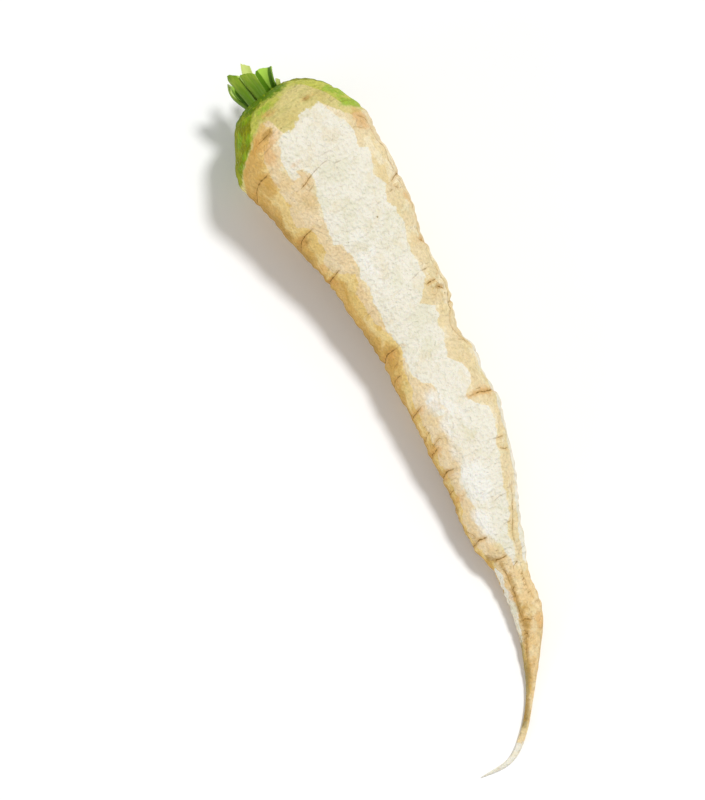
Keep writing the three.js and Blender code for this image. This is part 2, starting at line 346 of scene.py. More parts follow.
# Blots of colour, each with its middle (down, turn), its reach down the root in millimetres and its
# spread round it in degrees. The greens are on the shoulder, and most of the browns are near the tail.
BLOTS = {
    "tan": [
        (26, 12, 7, 16), (43, 10, 7, 14), (57, 12, 7, 14), (22, 40, 6, 11), (28, 51, 2.4, 6),
        (46, 44, 3.6, 12), (53, 36, 2, 14), (62, 40, 5, 14), (76, 56, 3, 19), (69, 34, 1.6, 8),
        (95, 58, 4.6, 18), (103, 50, 4, 16), (109, 52, 2, 22), (116, 30, 3, 8), (128, 42, 5, 14),
        (88, 38, 5, 14), (15.5, 128, 6, 13), (27, 112, 3, 6), (34, 122, 3, 7), (45, 129, 3, 6),
        (53, 128, 4, 9), (60, 132, 3, 12), (72, 134, 8, 7), (103, 116, 1.6, 8), (106.6, 122, 1.8, 12),
        (111, 108, 1.2, 5), (116, 128, 4, 12), (123, 122, 3.4, 12), (131, 140, 3, 12),
        (137, 136, 3, 12), (144, 142, 3, 16), (149, 118, 2.6, 16), (152, 52, 3, 14), (30, -10, 9, 22),
        (58, -30, 10, 26), (90, -5, 9, 24), (120, -40, 12, 30), (145, -10, 9, 30), (35, 285, 9, 26),
        (66, 310, 12, 24), (98, 275, 10, 30), (130, 300, 12, 34), (172, -70, 16, 60),
    ],
    # Cream blots: painted highlights on the +Y flank, near the top and down the -Y side of the neck;
    # the last one is the tail's own pale tip.
    "cream": [
        (104.6, 120, 0.8, 7), (109, 115, 0.8, 5), (25, 118, 1.6, 4), (160, 158, 4, 18),
        (168.5, 162, 6.5, 32), (176, 164, 5, 26), (98, 11, 9, 14), (113, 16, 9, 11), (128, 15, 9, 13),
        (141, 20, 9, 15), (151, 28, 6, 18), (222, 0, 14, 360),
    ],
    # Painted highlights: white blots along the top, towards its -Y side.
    "white": [
        (106, 118, 4, 10), (113, 106, 6, 18), (121, 108, 6, 18), (132, 106, 7, 22), (142, 114, 5, 15),
        (59, 104, 7, 9), (132, 124, 4, 10),
    ],
    # Gold blots: those on the -Y flank are painted shade; two more lie along the middle of the tail.
    "gold_and_shade": [
        (14.5, 147, 5, 14), (22, 146, 5, 12), (87, 150, 5, 20), (173.5, 108, 4, 18), (190, 115, 5, 26),
    ],
    # Painted shade: a dull grey olive on the -Y side of the tail's upper part.
    "tail_shade": [
        (184, 166, 5, 22), (192, 154, 8, 44), (200, 150, 6, 50),
    ],
    "orange": [
        (11.6, 122, 3.4, 13), (6, 106, 0.9, 7), (17, 124, 2.6, 6), (8.9, 66, 0.5, 3), (9, 136, 1.6, 8),
        (42.5, 157, 1.6, 8), (52.5, 163, 2.2, 9), (58, 162, 1.5, 9), (22.6, 36, 3.6, 9),
        (23.2, 112, 0.6, 3), (86.5, 150, 1.2, 18), (94, 156, 1.2, 14), (105.4, 154, 1, 12),
        (118, 152, 1.6, 12), (126, 158, 1.2, 12), (108, 48, 1, 22), (173.5, 40, 2.6, 20),
        (59.5, 24, 1.2, 8), (47.5, 24, 1.4, 6), (134, 150, 1.4, 12), (165, 136, 1.4, 12),
    ],
    "brown": [
        (10.8, 116, 1.3, 6), (8.8, 66, 0.8, 4), (156, 121, 1.6, 7), (161.5, 115, 3, 10),
        (165, 121, 2.4, 8), (169, 124, 3.4, 11), (172, 120, 2.4, 13), (174.6, 109, 2, 16),
        (177.4, 116, 2.4, 13), (182, 117, 2.4, 9), (189, 120, 4, 24), (199, 130, 5, 50),
        (153, 131, 1, 12), (152, 146, 1.4, 10), (73.8, 37, 0.5, 8), (43, 154, 0.6, 8),
    ],
    "deep_green": [
        (-0.5, 112, 2.6, 40), (1, 128, 1.5, 16), (0, 200, 2, 60), (0.6, 86, 1.9, 30),
    ],
    "leaf_green": [
        (10.2, 34, 1.8, 11), (11.4, 18, 1.8, 12), (16, 36, 1.7, 10), (17.2, 20, 1.8, 12),
        (13, 30, 0.8, 8), (6.4, 8, 1, 12), (4, 108, 0.6, 9), (8, 138, 1.5, 7), (11.4, 150, 1.2, 6),
        (13.7, 160, 0.9, 5), (0.4, 100, 0.7, 34), (6, 160, 2, 9), (3, 136, 0.7, 14),
        (14.5, -8, 1.4, 12), (8, -30, 1.6, 14), (12, 210, 2, 18),
    ],
}

FAR_OUTSIDE, WELL_INSIDE = -20, 8       # millimetres
PEACH_GAP, PEACH_UNDER, GOLD_SHADE_INSET = 2, 12, 17      # degrees past the cream's and the ochre's edges
OCHRE_END, GOLD_SHADE_END = 236, 230          # the turns where they end, on the belly
CREAM_LENGTH, PEACH_LENGTH, LOW_SHADE_LENGTH = 159, 160, 190       # millimetres down the root
arc = np.radians(1) * np.maximum(thickness, 0.3)        # millimetres of skin in one degree of turn


def row_at(table, where):
    """The table's columns at each point, read between its rows."""
    rows = np.array(table)
    return [np.interp(where, rows[:, 0], column) for column in rows[:, 1:].T]


def inside_blots(blots):
    """How far inside the nearest blot each point lies, in millimetres (below 0 outside them all)."""
    depth = np.full(len(down), float(FAR_OUTSIDE))
    for at, facing, reach_down, spread in blots:
        off = np.abs((turn - facing + 180) % 360 - 180)
        share = np.hypot((down - at) / reach_down, off / spread)
        depth = np.maximum(depth, (1 - share) * np.minimum(reach_down, spread * arc))
    return depth


# Each field is how far inside its colour's patch a point lies. The cream runs along the top. Round the
# -Y flank, past it, come a peach tone, the ochre, the gold in the ochre, and a brown low down towards
# the belly. The ochre is partly painted shade, and the gold band and the brown are painted shade, on
# the flank turned from the key lamp.
right_edge, left_edge = row_at(CREAM_BAND, down)
ochre_edge, = row_at(OCHRE_EDGE, down)
olive_reach, khaki_reach, lime_reach = row_at(GREENING, turn)
fields = {name: inside_blots(blots) for name, blots in BLOTS.items()}
band = np.minimum(turn - right_edge, left_edge - turn) * arc
band[down > CREAM_LENGTH] = FAR_OUTSIDE
fields["cream"] = np.maximum(fields["cream"], band)
fields["peach"] = np.minimum(turn - left_edge - PEACH_GAP, ochre_edge + PEACH_UNDER - turn) * arc
fields["peach"] = np.where(down < PEACH_LENGTH, fields["peach"], FAR_OUTSIDE)
fields["ochre"] = np.minimum(turn - ochre_edge, OCHRE_END - turn) * arc
# Painted shade: a gold band deep on the -Y flank, past the ochre, down to the belly.
painted_shade_band = np.minimum(turn - ochre_edge - GOLD_SHADE_INSET, GOLD_SHADE_END - turn) * arc
fields["gold_and_shade"] = np.maximum(fields["gold_and_shade"], painted_shade_band)
# Painted shade: a brown wash low on the -Y flank, turning under towards the belly.
shade_low_turn, shade_high_turn = 171 + 5 * np.sin(down * 0.13), 228 + 14 * np.sin(down * 0.09 + 2)
low_flank_shade = np.minimum(turn - shade_low_turn, shade_high_turn - turn) * arc
fields["low_flank_shade"] = np.where(down < LOW_SHADE_LENGTH, low_flank_shade, FAR_OUTSIDE)
for green, how_far in ("olive", olive_reach), ("khaki", khaki_reach), ("lime", lime_reach):
    fields[green] = np.where(in_dish, WELL_INSIDE, how_far - down)
fields["crease"] = crease
fields["crease_share"] = crease_share
for name, values in fields.items():
    keep_field(root, name, values)


def linear(hex_colour):
    """An sRGB colour such as "#EFEBD8" as the linear RGBA that a shader takes."""
    parts = (int(hex_colour[i:i + 2], 16) / 255 for i in (1, 3, 5))
    return (*(p / 12.92 if p <= 0.04045 else ((p + 0.055) / 1.055) ** 2.4 for p in parts), 1)


def add(tree, kind, sockets=None, output=0, **settings):
    """Adds a node with its settings, its sockets set to values or linked to outputs. Gives an output.

    A Map Range takes its value at socket 0, its range at 1 and 2, and what that becomes at 3 and 4.
    A Mix of colours takes its share at 0, and the colours at 6 and 7.
    """
    node = tree.nodes.new(kind)
    for name, value in settings.items():
        setattr(node, name, value)
    for key, value in (sockets or {}).items():
        if isinstance(value, bpy.types.NodeSocket):
            tree.links.new(value, node.inputs[key])
        else:
            node.inputs[key].default_value = value
    return node.outputs[output] if node.outputs else None


EASED = {"interpolation_type": "SMOOTHSTEP"}        # a Map Range without a kink at its ends
OF_COLOURS = {"output": 2, "data_type": "RGBA"}     # a Mix of two colours


def new_material(name):
    """An empty material, and its node tree."""
    material = bpy.data.materials.new(name)
    material.use_nodes = True
    material.node_tree.nodes.clear()
    return material, material.node_tree


# Carrot skin, washed and dried: a thin dull periderm over wet flesh, so light goes in a little and
# comes out warm. It is cream where it is bare, tan and ochre in blots with crisp edges where soil
# stained it, brown down in its creases, and green where the sun reached it. Some of its colours are
# painted light and shade: the ochre on the -Y flank is partly painted shade; the gold band and the
# brown low on that flank, and the dull tone on the tail, are painted shade; the white blots and most
# cream blots are painted highlights; and the pebbles' hollows are painted darker as painted shade.

# Sizes of its patterns, in millimetres.
MOTTLING = 7                # patches of a lighter and a darker cream
GROWTH_RINGS = 0.8          # fine rings round the root
PEBBLES = 1.05              # really about 0.4: drawn coarser to show
CLOUDS = 8                  # warm and greenish tones of the flesh that shows through
LONG_STROKES = 1.5          # strokes down the olive shoulder, several times as long as this
RAGGED_EDGE = 1.3           # the bays in the edges of the creases' stains
PORE_SPACING = 6.5          # lateral roots broke off here
FLECKS = 0.8                # of soil left in the skin; really about 0.2: drawn coarser to show

# Each wash of colour: its field, its colour, how far its edge wanders (mm), the size of the bays in
# that edge (mm), how soft the edge is (mm), and how strong the wash is.
WASHES = [
    ("tan", "#EDD9AE", 1.6, 5, 0.35, 0.85), ("peach", "#F1D4A6", 2.6, 4.5, 0.4, 0.5),
    ("ochre", "#F2D795", 2.2, 6, 0.3, 1), ("gold_and_shade", "#D2A34F", 2.4, 4, 1.2, 0.68),
    ("low_flank_shade", "#8F6B2E", 3, 7, 3, 0.55), ("cream", "#F2EDDC", 1.1, 3.5, 0.16, 1),
    ("white", "#F8F6EE", 1.8, 6, 1.4, 0.7), ("tail_shade", "#9A946C", 1.4, 3, 0.8, 0.75),
    ("khaki", "#DFD08C", 1.6, 3, 0.5, 1), ("lime", "#C4C94C", 1.6, 2.5, 1.2, 0.8),
    ("orange", "#E0A961", 1.6, 2.5, 0.9, 0.5), ("olive", "#868C0A", 2, 3, 0.8, 1),
    ("leaf_green", "#84B820", 1.2, 1.8, 0.6, 0.6), ("deep_green", "#547C0C", 1, 1.6, 0.6, 0.9),
    ("brown", "#B08A44", 0.8, 1.4, 0.7, 0.7),
]
skin, tree = new_material("carrot_skin_washed")
place = add(tree, "ShaderNodeAttribute", output="Vector", attribute_name="straight")
mottle = add(tree, "ShaderNodeTexNoise", {
    "Vector": place, "Scale": 1 / (MOTTLING * MM), "Detail": 4, "Roughness": 0.6})
ringwise = add(tree, "ShaderNodeVectorMath", {0: place, 1: (1, 0.16, 0.16)}, operation="MULTIPLY")
rings = add(tree, "ShaderNodeTexNoise", {
    "Vector": ringwise, "Scale": 1 / (GROWTH_RINGS * MM), "Detail": 3})
grain = add(tree, "ShaderNodeTexNoise", {
    "Vector": place, "Scale": 1 / (PEBBLES * MM), "Detail": 1.5, "Roughness": 0.5})

# The bare skin is mottled in two creams. Down the tail, from about 160 mm, both are more tan.
mottled = add(tree, "ShaderNodeMapRange", {0: mottle, 1: 0.47, 2: 0.53}, **EASED)
colour = add(
    tree, "ShaderNodeMix", {0: mottled, 6: linear("#F4E6C3"), 7: linear("#EFDCAE")}, **OF_COLOURS)
tail = add(tree, "ShaderNodeSeparateXYZ", {0: place}, output="X")
tail = add(tree, "ShaderNodeMath", {0: mottle, 1: 12 * MM, 2: tail}, operation="MULTIPLY_ADD")
tail = add(tree, "ShaderNodeMapRange", {0: tail, 1: 163 * MM, 2: 168 * MM}, **EASED)
tail_tone = add(
    tree, "ShaderNodeMix", {0: mottled, 6: linear("#F2DBAC"), 7: linear("#EED19C")}, **OF_COLOURS)
colour = add(tree, "ShaderNodeMix", {0: tail, 6: colour, 7: tail_tone}, **OF_COLOURS)

# Over that lie the washes, each with a ragged edge: the noise moves the edge in and out.
for number, (field, wash, wander, bay, soft, strength) in enumerate(WASHES):
    edge = add(tree, "ShaderNodeAttribute", output="Fac", attribute_name=field)
    ragged = add(tree, "ShaderNodeTexNoise", {
        "Vector": place, "W": number * 3.7, "Scale": 1 / (bay * MM), "Detail": 6, "Roughness": 0.66},
        noise_dimensions="4D")
    edge = add(tree, "ShaderNodeMath", {0: ragged, 1: 4 * wander, 2: edge}, operation="MULTIPLY_ADD")
    share = add(tree, "ShaderNodeMapRange", {
        0: edge, 1: 2 * wander - soft, 2: 2 * wander + soft, 3: 0, 4: strength}, **EASED)
    colour = add(tree, "ShaderNodeMix", {0: share, 6: colour, 7: linear(wash)}, **OF_COLOURS)
    if field == "ochre":
        # About half of the ochre was stained once more, and is deeper.
        coat = add(tree, "ShaderNodeMapRange", {0: mottle, 1: 0.5, 2: 0.52}, **EASED)
        coat = add(tree, "ShaderNodeMath", {0: coat, 1: share}, operation="MULTIPLY")
        colour = add(tree, "ShaderNodeMix", {0: coat, 6: colour, 7: linear("#EACA80")}, **OF_COLOURS)

# Under it all the flesh shows through unevenly, in faint warm and greenish clouds.
for number, (cloud, strength) in enumerate([("#F2E4C0", 0.3), ("#E6E8CC", 0.3)]):
    share = add(tree, "ShaderNodeTexNoise", {
        "Vector": place, "W": 50 + number, "Scale": 1 / (CLOUDS * MM), "Detail": 5, "Roughness": 0.62},
        noise_dimensions="4D")
    share = add(tree, "ShaderNodeMapRange", {0: share, 1: 0.5, 2: 0.62, 3: 0, 4: strength}, **EASED)
    colour = add(tree, "ShaderNodeMix", {0: share, 6: colour, 7: linear(cloud)},
                 **OF_COLOURS, blend_type="MULTIPLY")

# The pebbled skin is a little warmer and darker in its hollows: painted shade.
hollow = add(tree, "ShaderNodeMapRange", {0: grain, 1: 0.48, 2: 0.34, 3: 0, 4: 0.13}, **EASED)
colour = add(tree, "ShaderNodeMix", {0: hollow, 6: colour, 7: linear("#E2D3A6")},
             **OF_COLOURS, blend_type="MULTIPLY")

# Dark streaks ring the green shoulder, and darker and lighter strokes run down its olive part.
green_zone = add(tree, "ShaderNodeAttribute", output="Fac", attribute_name="khaki")
green_zone = add(tree, "ShaderNodeMapRange", {0: green_zone, 1: -1.0, 2: 1.5}, **EASED)
streak = add(tree, "ShaderNodeMapRange", {0: rings, 1: 0.48, 2: 0.4, 3: 0, 4: 0.16}, **EASED)
streak = add(tree, "ShaderNodeMath", {0: streak, 1: green_zone}, operation="MULTIPLY")
colour = add(tree, "ShaderNodeMix", {0: streak, 6: colour, 7: linear("#8B9A33")}, **OF_COLOURS)
olive_zone = add(tree, "ShaderNodeAttribute", output="Fac", attribute_name="olive")
olive_zone = add(tree, "ShaderNodeMapRange", {0: olive_zone, 1: -1.0, 2: 1.0}, **EASED)
lengthwise = add(tree, "ShaderNodeVectorMath", {0: place, 1: (0.12, 1, 1)}, operation="MULTIPLY")
lengthwise = add(tree, "ShaderNodeTexNoise", {
    "Vector": lengthwise, "Scale": 1 / (LONG_STROKES * MM), "Detail": 3})
for low, high, tone in ((0.49, 0.41, "#6C7A0A"), (0.55, 0.62, "#AAB420")):
    stroke = add(tree, "ShaderNodeMapRange", {0: lengthwise, 1: low, 2: high, 3: 0, 4: 0.45}, **EASED)
    stroke = add(tree, "ShaderNodeMath", {0: stroke, 1: olive_zone}, operation="MULTIPLY")
    colour = add(tree, "ShaderNodeMix", {0: stroke, 6: colour, 7: linear(tone)}, **OF_COLOURS)

# The creases: a brown line along the middle, of uneven width, and a warm stain to both sides of it.
# Both are weaker on the bare cream, and the stain is left out on the green.
ragged = add(tree, "ShaderNodeTexNoise", {
    "Vector": place, "Scale": 1 / (RAGGED_EDGE * MM), "Detail": 3, "Roughness": 0.6})
width = add(tree, "ShaderNodeMath", {0: ragged, 1: 0.8, 2: -0.27}, operation="MULTIPLY_ADD")
across = add(tree, "ShaderNodeAttribute", output="Fac", attribute_name="crease")
across = add(tree, "ShaderNodeMath", {0: across}, operation="ABSOLUTE")
inside = add(tree, "ShaderNodeMath", {0: width, 1: across}, operation="SUBTRACT")
line = add(tree, "ShaderNodeMapRange", {0: inside, 1: -0.12, 2: 0.12}, **EASED)
strong = add(tree, "ShaderNodeAttribute", output="Fac", attribute_name="crease_share")
line = add(tree, "ShaderNodeMath", {0: line, 1: strong}, operation="MULTIPLY")
halo = add(tree, "ShaderNodeMapRange", {0: across, 1: 1.1, 2: 0.2, 3: 0, 4: 0.5}, **EASED)
halo = add(tree, "ShaderNodeMath", {0: halo, 1: strong}, operation="MULTIPLY")
bare = add(tree, "ShaderNodeAttribute", output="Fac", attribute_name="cream")
stained = add(tree, "ShaderNodeMapRange", {0: bare, 1: 0.8, 2: -1.5, 3: 0.1, 4: 1}, **EASED)
halo = add(tree, "ShaderNodeMath", {0: halo, 1: stained}, operation="MULTIPLY")
not_green = add(tree, "ShaderNodeMath", {0: 1, 1: green_zone}, operation="SUBTRACT")
halo = add(tree, "ShaderNodeMath", {0: halo, 1: not_green}, operation="MULTIPLY")
line_share = add(tree, "ShaderNodeMapRange", {0: bare, 1: 0.8, 2: -1.5, 3: 0.5, 4: 0.95})
line = add(tree, "ShaderNodeMath", {0: line, 1: line_share}, operation="MULTIPLY")
colour = add(tree, "ShaderNodeMix", {0: halo, 6: colour, 7: linear("#D3A45C")}, **OF_COLOURS)
colour = add(tree, "ShaderNodeMix", {0: line, 6: colour, 7: linear("#8A692C")}, **OF_COLOURS)

# A few pores lie all over it, and flecks of soil where it is not bare.
pore = add(tree, "ShaderNodeTexVoronoi", {
    "Vector": place, "Scale": 1 / (PORE_SPACING * MM)}, output="Distance")
pore = add(tree, "ShaderNodeMapRange", {0: pore, 1: 0.055, 2: 0.035, 3: 0, 4: 0.7})
colour = add(tree, "ShaderNodeMix", {0: pore, 6: colour, 7: linear("#8E7434")}, **OF_COLOURS)
fleck = add(tree, "ShaderNodeTexNoise", {
    "Vector": place, "Scale": 1 / (FLECKS * MM), "Detail": 3, "Roughness": 0.6})
fleck = add(tree, "ShaderNodeMapRange", {0: fleck, 1: 0.35, 2: 0.65, 3: 0.9, 4: 1.06})
colour = add(tree, "ShaderNodeMix", {0: stained, 6: colour, 7: fleck},
             **OF_COLOURS, blend_type="MULTIPLY")

# The dried skin is faintly pebbled, and ringed as it grew.
bump = add(tree, "ShaderNodeBump", {"Strength": 1.0, "Distance": 1.0 * MM, "Height": grain})
bump = add(tree, "ShaderNodeBump", {
    "Strength": 0.6, "Distance": 0.12 * MM, "Height": rings, "Normal": bump})
surface = add(tree, "ShaderNodeBsdfPrincipled", {
    "Base Color": colour, "Roughness": 0.65, "IOR": 1.42, "Specular IOR Level": 0.1, "Normal": bump,
    "Subsurface Weight": 0.1, "Subsurface Radius": (1.0, 0.7, 0.4), "Subsurface Scale": 1.4 * MM})
add(tree, "ShaderNodeOutputMaterial", {0: surface})
root.data.materials.append(skin)

select_only(root)
bpy.ops.object.shade_smooth()
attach(root, "root")
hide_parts("taproot")

# ---- The leaf stalks
# Eight leaf stalks, cut off short when the leaves were trimmed: green, juicy and ribbed, round behind
# and hollow towards the heart of the crown. Each grew out of the floor of the dish by itself; three
# are young and pale.

# Where each stalk's back looks (round the crown, as the skin's turns are), how light its back is, how
# young and pale it still is, how wide its pale margin is (a painted highlight), which edge (-1 or 1)
# is painted pale over to the back as a highlight too, how much wider it gets towards its tip, and how
# far (mm) each of the two corners of its cut tip has dried and drawn back.
STALKS = [
    (101, 0.5, 0, 0.2, 0, 0.04, 1, 1.2), (138, 0.5, 0, 0.8, -1, 0.1, 2, 0.8),
    (206, 0.4, 0, 0.3, 0, 0.4, 0.9, 1.6), (250, 0.5, 0, 0.6, 0, 0.1, 0.8, 0.8),
    (308, 0.55, 0, 0.2, 0, 0.35, 2.8, 2), (16, 0.6, 0.9, 0.5, 0, 0.2, 0.6, 0.6),
    (270, 0.8, 1, 0.5, 0, 0.1, 3.2, 1.2), (120, 0.7, 0.8, 0.5, 0, 0.2, 0.6, 0.6),
]
CUT_SLANT = 0.55            # how far the cut falls for each mm towards the +Y flank
STALK_GRAIN = 0.12 * MM     # of the even mesh that its knife edges are rounded in
FIBRE_STRETCH = 0.22        # its streaks are 1 / 0.22 times as long as they are wide
STALK_STREAKS, STALK_BLOTS = 0.7, 1.6       # their widths in millimetres

crown_out = (Vector(MIDDLE_LINE[0]) - Vector(MIDDLE_LINE[1])).normalized()
crown_side = Vector((0, 0, 1)).cross(-crown_out).normalized()


def select_faces_facing(piece, direction):
    """In edit mode, selects only the faces that look within 35 degrees of a direction."""
    bpy.ops.object.mode_set(mode="OBJECT")
    for part in (*piece.data.vertices, *piece.data.edges, *piece.data.polygons):
        part.select = False
    for face in piece.data.polygons:
        face.select = face.normal.dot(direction) > 0.82
    bpy.ops.object.mode_set(mode="EDIT")


stalks = []
for number, (back_turn, lightness, youth, rim_highlight, pale_edge, spread, *drawn_back) in enumerate(STALKS, 1):
    # From the solid: its sides are swelled smooth between its two ends, and its knife edges rounded.
    stalk = welded_copy(f"leaf_stalk_{number}", f"stalk_{number}")
    solid = read_points(stalk)
    rise = solid @ np.array(crown_out)
    share = (rise - rise.min()) / (rise.max() - rise.min())
    # Its cut looks the way that it leans, from the middle of its height to its top, and a little aside.
    lean = solid[share > 0.72].mean(axis=0) - solid[(share > 0.3) & (share < 0.65)].mean(axis=0)
    cut_looks = (Vector(lean).normalized() + crown_side * CUT_SLANT).normalized()
    bpy.ops.object.mode_set(mode="EDIT")
    bpy.ops.mesh.select_mode(type="FACE")
    for end_looks in (-crown_out, cut_looks):
        select_faces_facing(stalk, end_looks)
        bpy.ops.mesh.region_to_loop()
        bpy.ops.transform.edge_crease(value=1)
        bpy.ops.mesh.select_mode(type="FACE")
    bpy.ops.object.mode_set(mode="OBJECT")
    finish_with(stalk, "SUBSURF", levels=3, render_levels=3)
    finish_with(stalk, "REMESH", mode="VOXEL", voxel_size=STALK_GRAIN)
    finish_with(stalk, "SMOOTH", factor=0.5, iterations=9)

    # Where a point is on the stalk: its share of the way up, and millimetres across from its spine.
    points, normals = read_points(stalk), read_points(stalk, "normal")
    rise = points @ np.array(crown_out)
    share = (rise - rise.min()) / (rise.max() - rise.min())
    # Its spine goes through the middles of thin slices, and straight on through the ragged tip.
    slices = np.linspace(0, 0.7, 8)
    middles = np.array([points[np.abs(share - part) < 0.06].mean(axis=0) for part in slices])
    slices, middles = np.append(slices, 1), np.vstack([middles, middles[-1] * 2.5 - middles[-3] * 1.5])
    spine = np.stack([np.interp(share, slices, column) for column in middles.T], axis=1)
    angle = math.radians(back_turn)
    backwards = np.array(crown_side * math.cos(angle) - crown_out.cross(crown_side) * math.sin(angle))
    sideways = np.cross(np.array(crown_out), backwards)
    across = (points - spine) @ sideways / MM
    edgeways = across / np.abs(across[share < 0.9]).max()

    # It is ribbed behind, and its tip has dried a little, so the tip's corners are drawn in. The cut
    # is where the surface looks the cut's way, in the upper half.
    cut = np.clip(normals @ np.array(cut_looks) * 2.4 - 1.2, 0, 1) * (share > 0.5)
    behind = np.clip(normals @ backwards, 0, 1) * (1 - cut)
    ribs = 0.045 * np.cos(across * 5.6 + number) + 0.03 * np.cos(across * 9.7 + share * 3)
    near_tip = np.clip(share * 2 - 1, 0, 1) ** 2
    sunk = 0.1 * cut + np.where(edgeways < 0, *drawn_back) * near_tip * np.abs(edgeways) ** 2
    sunk += near_tip * (0.2 * np.sin(across * 1.9 + number * 2) + 0.07 * np.sin(across * 6.3 + number))
    moved = points + normals * (ribs * behind * MM)[:, None] - np.outer(sunk * MM, np.array(crown_out))
    moved += np.outer(across * spread * np.clip(share * 2 - 0.6, 0, 1) * MM, sideways)
    write_points(stalk, np.clip(moved, cad_low, cad_high))
    keep_field(stalk, "up", share)
    keep_field(stalk, "edgeways", edgeways)
    keep_field(stalk, "hollow", np.clip(-normals @ backwards * 1.6, 0, 1) * (1 - cut))
    keep_field(stalk, "cut", cut)
    keep_field(stalk, "youth", np.full(len(points), youth))
    keep_field(stalk, "lightness", np.full(len(points), lightness))
    pale = np.clip((edgeways * pale_edge - 0.72) * 5, 0, 1)
    keep_field(stalk, "rim_highlight", np.maximum(rim_highlight * np.clip(0.7 - 1.5 * (normals @ backwards), 0, 1), pale))
    fibres = np.stack([rise * FIBRE_STRETCH, across * MM, (points - spine) @ backwards], axis=1)
    keep_field(stalk, "fibres", fibres)
    stalks.append(stalk)

# Carrot leaf stalk: wet green tissue under a thin waxy skin, a little glossy, with light going in.
# Long fibres streak its back; the hollow side is a fresh yellow green, narrowing to a V at the foot,
# with pale margins; the cut ends are pale and dull. The bright V and the pale margins are painted
# highlights, and the dark flanks beside the V and the dark foot are painted shade.
stalk_skin, tree = new_material("leaf_stalk_fresh")
up, edgeways, hollow, cut, youth, lightness, rim_highlight = (
    add(tree, "ShaderNodeAttribute", output="Fac", attribute_name=name)
    for name in ("up", "edgeways", "hollow", "cut", "youth", "lightness", "rim_highlight"))
fibres = add(tree, "ShaderNodeAttribute", output="Vector", attribute_name="fibres")
strokes = add(tree, "ShaderNodeTexNoise", {
    "Vector": fibres, "Scale": 1 / (STALK_STREAKS * MM), "Detail": 3})
blots = add(tree, "ShaderNodeTexNoise", {
    "Vector": fibres, "Scale": 1 / (STALK_BLOTS * MM), "Detail": 2})
off_middle = add(tree, "ShaderNodeMath", {0: edgeways}, operation="ABSOLUTE")

# The back: deep green at the foot, partly painted shade there, and in the streaks; lighter and duller
# higher up.
light_share = add(tree, "ShaderNodeMath", {0: up, 1: 0.5, 2: lightness}, operation="MULTIPLY_ADD")
light_share = add(tree, "ShaderNodeMath", {0: blots, 1: 1.2, 2: light_share}, operation="MULTIPLY_ADD")
light_share = add(tree, "ShaderNodeMapRange", {0: light_share, 1: 0.75, 2: 1.75}, **EASED)
back = add(tree, "ShaderNodeMix", {0: light_share, 6: linear("#55790A"), 7: linear("#90A830")},
           **OF_COLOURS)
stroke = add(tree, "ShaderNodeMapRange", {0: strokes, 1: 0.5, 2: 0.56, 3: 0, 4: 0.55}, **EASED)
back = add(tree, "ShaderNodeMix", {0: stroke, 6: back, 7: linear("#6C9412")}, **OF_COLOURS)

# The hollow side: a bright V between dark flanks, as painted light down its middle and painted shade
# on both sides of it.
lit_vee = add(tree, "ShaderNodeMath", {0: up, 1: 0.75, 2: -0.22}, operation="MULTIPLY_ADD")
lit_vee = add(tree, "ShaderNodeMath", {0: lit_vee, 1: off_middle}, operation="SUBTRACT")
lit_vee = add(tree, "ShaderNodeMath", {0: blots, 1: 0.5, 2: lit_vee}, operation="MULTIPLY_ADD")
lit_vee = add(tree, "ShaderNodeMath", {0: rim_highlight, 1: 0.75, 2: lit_vee}, operation="MULTIPLY_ADD")
lit_vee = add(tree, "ShaderNodeMapRange", {0: lit_vee, 1: 0.2, 2: 0.3}, **EASED)
channel = add(tree, "ShaderNodeMix", {0: lit_vee, 6: linear("#5E8A12"), 7: linear("#BAE458")}, **OF_COLOURS)
hollow_share = add(tree, "ShaderNodeMapRange", {0: hollow, 1: 0.25, 2: 0.5}, **EASED)
green = add(tree, "ShaderNodeMix", {0: hollow_share, 6: back, 7: channel}, **OF_COLOURS)

# The margins between back and hollow are thin, and painted pale as a painted highlight along them.
margin_highlight = add(tree, "ShaderNodeMath", {0: up, 1: 0.3, 2: off_middle}, operation="MULTIPLY_ADD")
margin_highlight = add(tree, "ShaderNodeMath", {0: strokes, 1: 0.3, 2: margin_highlight}, operation="MULTIPLY_ADD")
margin_highlight = add(tree, "ShaderNodeMath", {0: rim_highlight, 1: 0.25, 2: margin_highlight}, operation="MULTIPLY_ADD")
margin_highlight = add(tree, "ShaderNodeMapRange", {0: margin_highlight, 1: 1.24, 2: 1.36, 3: 0, 4: 0.9}, **EASED)
green = add(tree, "ShaderNodeMix", {0: margin_highlight, 6: green, 7: linear("#C3DE7C")}, **OF_COLOURS)

# The young ones are a pale yellow green all over, palest at the tip.
young_share = add(tree, "ShaderNodeMath", {0: blots, 1: 0.6, 2: up}, operation="MULTIPLY_ADD")
young_share = add(tree, "ShaderNodeMapRange", {0: young_share, 1: 0.4, 2: 1.1}, **EASED)
young = add(tree, "ShaderNodeMix", {0: young_share, 6: linear("#BECA58"), 7: linear("#D2DE82")},
            **OF_COLOURS)
green = add(tree, "ShaderNodeMix", {0: youth, 6: green, 7: young}, **OF_COLOURS)

